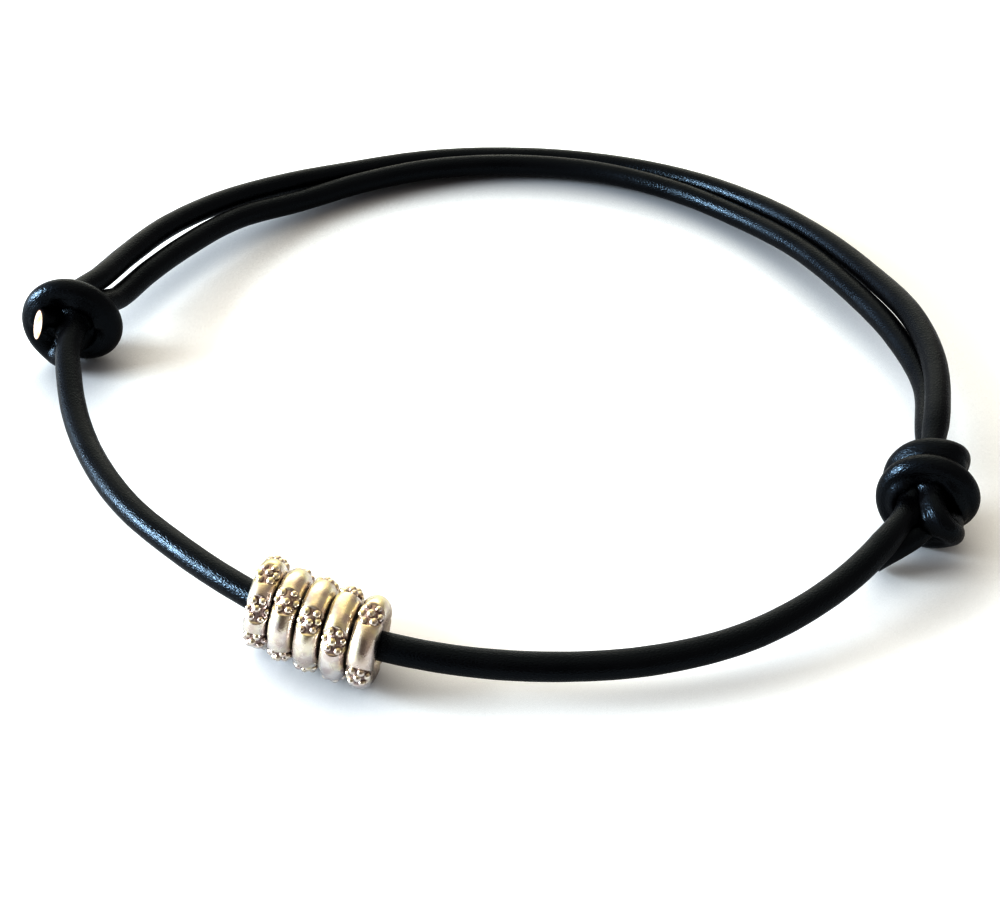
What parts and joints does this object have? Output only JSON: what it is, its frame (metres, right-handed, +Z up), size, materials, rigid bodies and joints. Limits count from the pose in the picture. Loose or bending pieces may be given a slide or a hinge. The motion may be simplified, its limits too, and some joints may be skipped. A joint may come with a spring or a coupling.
{
  "type": "leather cord bracelet",
  "caption": "Adjustable bracelet of round black leather cord, doubled round the back, closed by sliding knots, with cast silver tone rings of raised grains on the front.",
  "frame": {"origin": "middle of the bracelet's outline on the surface that it lies on", "axes": "+Z up, across the plane of the loop; -Y toward the side that carries the rings; +X to the right of a viewer in front"},
  "size_m": [0.0749, 0.0734, 0.0082],
  "materials": {
    "black_leather": "smooth round leather cord, fine grain, soft sheen",
    "cast_silver": "polished cast silver tone, darkened in the recesses"
  },
  "bodies": {
    "root": {"leather_cord": "black_leather", "ring_1": "cast_silver", "ring_2": "cast_silver", "ring_3": "cast_silver", "ring_4": "cast_silver", "ring_5": "cast_silver"}
  },
  "joints": []
}
